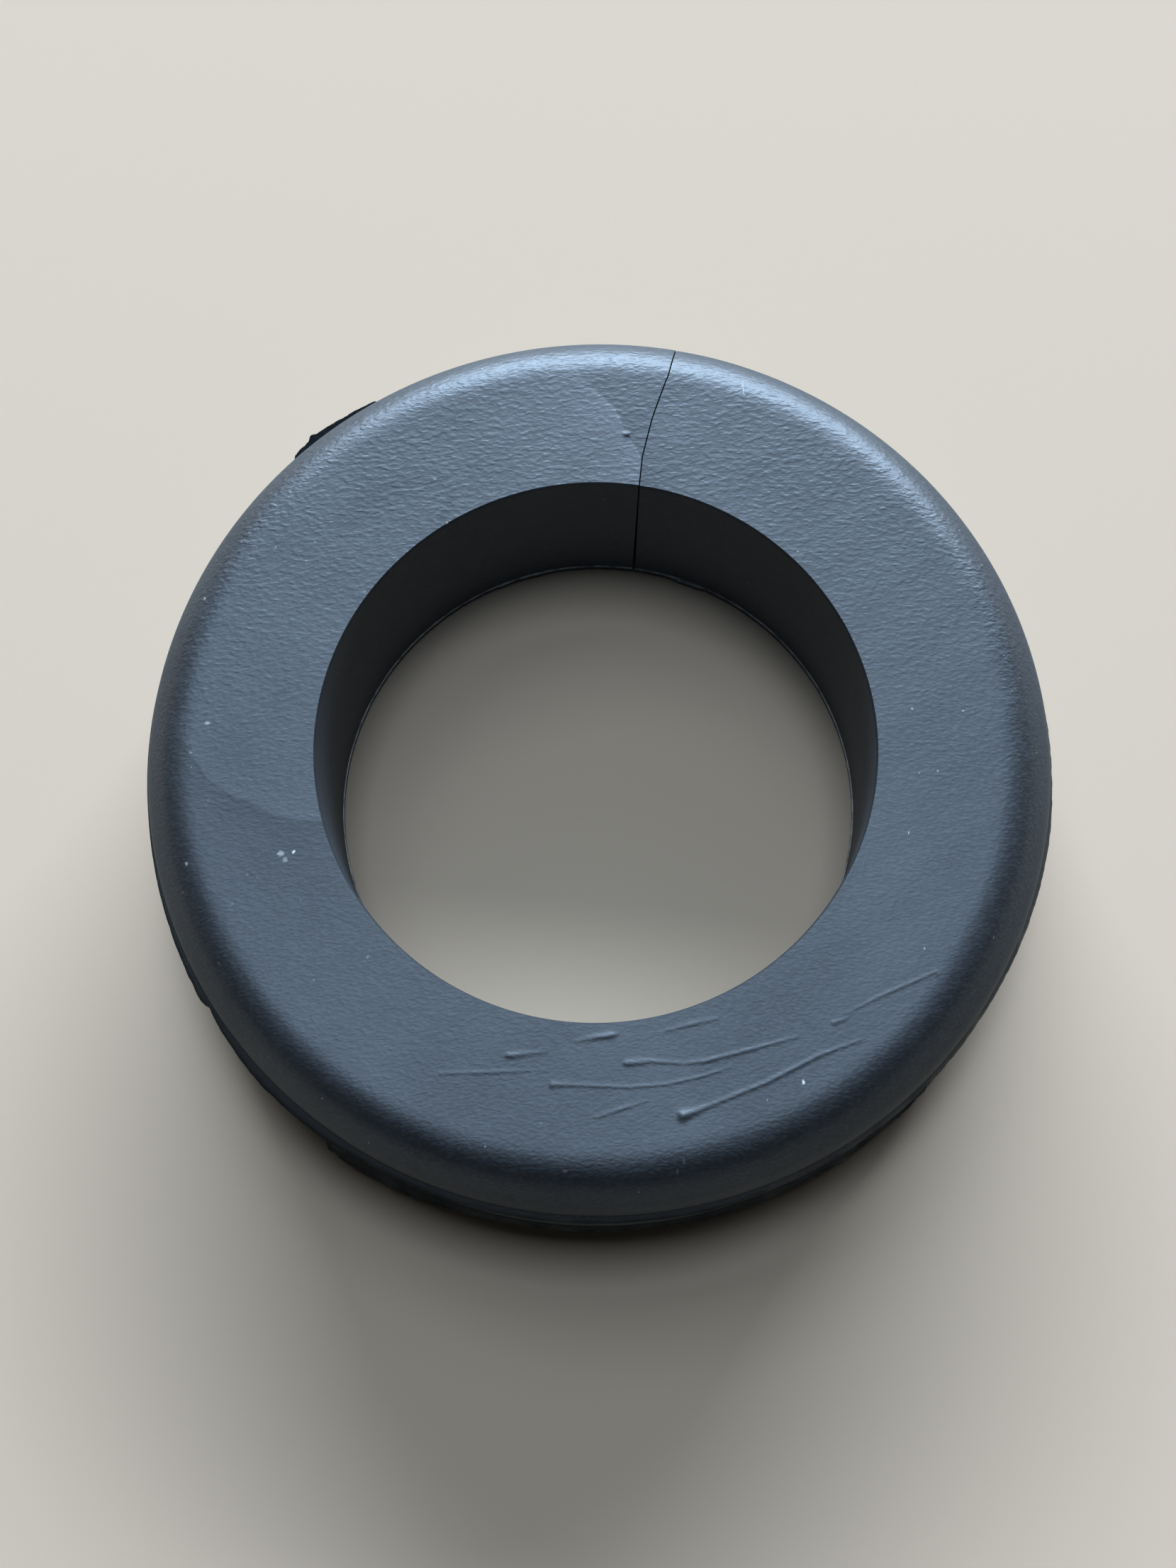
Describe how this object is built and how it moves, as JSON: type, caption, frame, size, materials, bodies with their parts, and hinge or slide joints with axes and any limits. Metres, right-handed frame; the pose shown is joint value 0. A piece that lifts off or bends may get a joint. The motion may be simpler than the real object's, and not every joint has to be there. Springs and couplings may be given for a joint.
{
  "type": "rubber grommet",
  "caption": "Split black rubber grommet: a thick ring with two rounded flanges and a groove between them, seated in a panel hole to guard a cable or pipe.",
  "frame": {"origin": "on the bore's axis, at the lower face of the lower flange", "axes": "+Z along the bore's axis, from the face it lies on to the upper face; +Y towards the side where the slit is"},
  "size_m": [0.0822, 0.0827, 0.0215],
  "materials": {
    "rubber": "matte moulded black rubber with a faint grey bloom"
  },
  "bodies": {
    "root": {"grommet": "rubber"}
  },
  "joints": []
}
